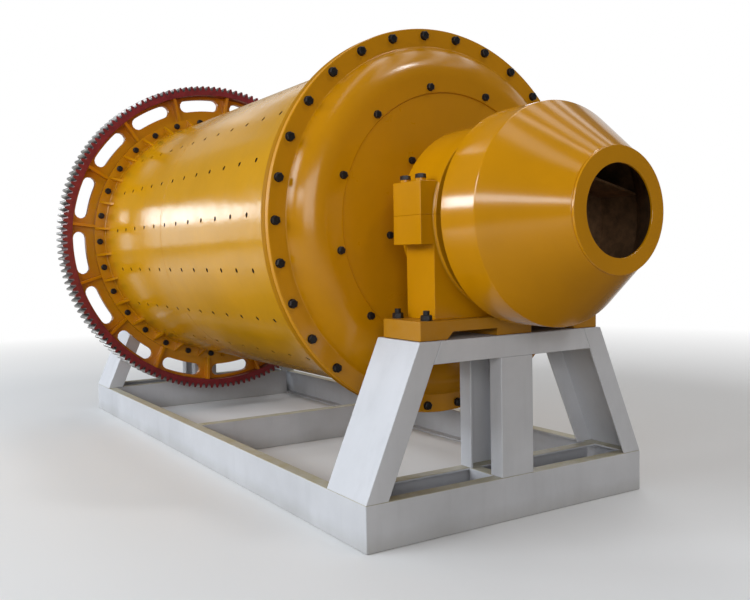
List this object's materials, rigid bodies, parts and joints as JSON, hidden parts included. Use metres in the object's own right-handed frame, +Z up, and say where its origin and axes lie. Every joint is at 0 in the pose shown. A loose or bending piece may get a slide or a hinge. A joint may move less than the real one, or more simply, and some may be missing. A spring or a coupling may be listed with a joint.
{
  "type": "ball mill",
  "caption": "Horizontal ball mill: a bolted steel drum with a slotted ring gear and a scoop feeder, turning in two trunnion bearings on a welded channel stand.",
  "frame": {"origin": "on the floor, under the middle of the drum and of the stand", "axes": "X along the mill axis towards the feed end, Y across, to the right seen from the gear end, Z up"},
  "size_m": [5.924, 2.916, 3.124],
  "materials": {
    "machine_paint": "gloss yellow paint",
    "housing_paint": "gloss yellow paint on a casting",
    "trunnion_paint": "yellow paint, journal ground bright",
    "web_paint": "orange yellow paint",
    "gear_steel": "machined teeth, red primer on the rim",
    "feeder_inside": "dull dark primer",
    "bush_metal": "bearing metal",
    "stand_paint": "white paint on rolled channels"
  },
  "bodies": {
    "stand": {"feed_bush": "bush_metal", "gear_bush": "bush_metal", "feed_housing": "housing_paint", "gear_housing": "housing_paint", "feed_cap": "housing_paint", "gear_cap": "housing_paint", "feed_sole": "housing_paint", "gear_sole": "housing_paint", "feed_top_beam": "stand_paint", "gear_top_beam": "stand_paint", "feed_leg_left": "stand_paint", "feed_leg_right": "stand_paint", "gear_leg_left": "stand_paint", "gear_leg_right": "stand_paint", "feed_post": "stand_paint", "gear_post": "stand_paint", "feed_sill": "stand_paint", "gear_sill": "stand_paint", "side_beam_left": "stand_paint", "side_beam_right": "stand_paint", "feed_end_beam": "stand_paint", "gear_end_beam": "stand_paint", "feed_cross_beam": "stand_paint", "gear_cross_beam": "stand_paint", "middle_cross_beam": "stand_paint"},
    "drum": {"shell": "machine_paint", "feed_flange": "machine_paint", "gear_flange": "machine_paint", "feed_cover": "machine_paint", "gear_cover": "machine_paint", "feed_trunnion": "trunnion_paint", "gear_trunnion": "trunnion_paint", "ring_gear": "gear_steel", "gear_web": "web_paint", "feeder_back": "machine_paint", "feeder_shell": "machine_paint", "feeder_mouth": "machine_paint", "feeder_scoop": "feeder_inside", "discharge_collar": "machine_paint"}
  },
  "joints": [
    {"name": "drum_spin", "type": "hinge", "parent": "stand", "child": "drum", "pos_m": [0, 0, 1.666], "axis": [1, 0, 0], "continuous": true}
  ]
}
